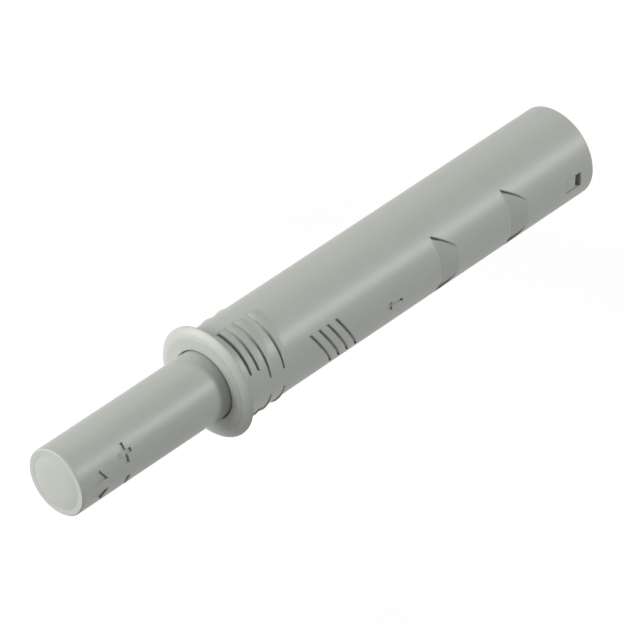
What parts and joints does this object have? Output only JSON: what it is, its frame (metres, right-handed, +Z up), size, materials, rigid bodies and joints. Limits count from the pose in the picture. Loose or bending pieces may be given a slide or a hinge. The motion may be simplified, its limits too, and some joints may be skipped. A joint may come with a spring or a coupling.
{
  "type": "push to open catch",
  "caption": "Drill-in push to open catch: flanged tubular housing with a sprung, turn-adjustable plunger that latches when pressed and springs out to push a door open.",
  "frame": {"origin": "centre of the flange's back face, on the catch's axis, where the flange seats on the carcass edge", "axes": "+Y along the axis from the plunger towards the rear of the shank, +X through the middle of the moulded arrow, pockets and snap window, +Z up"},
  "size_m": [0.0118, 0.0706, 0.0118],
  "materials": {
    "housing": "fine satin moulded plastic",
    "end_plug": "fine satin moulded plastic",
    "plunger_sleeve": "fine satin moulded plastic",
    "strike_pad": "soft matte moulded plastic",
    "ram": "natural acetal, satin",
    "click_ring": "natural acetal, satin",
    "push_nut": "stamped spring steel",
    "stop_bumper": "soft elastomer",
    "ejector_spring": "drawn spring wire",
    "spring_washer": "stamped steel",
    "latch_pin": "bent spring wire",
    "pin_leaf": "rolled spring strip"
  },
  "bodies": {
    "housing": {"housing": "housing", "end_plug": "end_plug", "stop_bumper": "stop_bumper", "ejector_spring": "ejector_spring", "spring_washer": "spring_washer", "pin_leaf": "pin_leaf"},
    "ram": {"ram": "ram", "push_nut": "push_nut"},
    "click_ring": {"click_ring": "click_ring"},
    "plunger": {"plunger_sleeve": "plunger_sleeve", "strike_pad": "strike_pad"},
    "latch_pin": {"latch_pin": "latch_pin"}
  },
  "joints": [
    {"name": "plunger_push", "type": "slide", "parent": "housing", "child": "ram", "axis": [0, 1, 0], "range_m": [0, 0.0194], "stiffness_N_per_m": 410, "springref_m": -0.0098, "deforming": ["ejector_spring"]},
    {"name": "depth_travel", "type": "slide", "parent": "ram", "child": "click_ring", "axis": [0, 1, 0], "range_m": [-0.004, 0.001]},
    {"name": "sleeve_turn", "type": "hinge", "parent": "click_ring", "child": "plunger", "pos_m": [0, 0, 0], "axis": [0, 1, 0], "range_deg": [-576, 144]},
    {"name": "pin_swing", "type": "hinge", "parent": "housing", "child": "latch_pin", "pos_m": [-0.003, 0.045, 0], "axis": [1, 0, 0], "range_deg": [-2.87, 0]}
  ],
  "couplings": [
    {"joint": "sleeve_turn", "follows": "depth_travel", "rad_per_m": 2513.3},
    {"joint": "pin_swing", "follows": "plunger_push", "rad_per_m": -2.582}
  ]
}
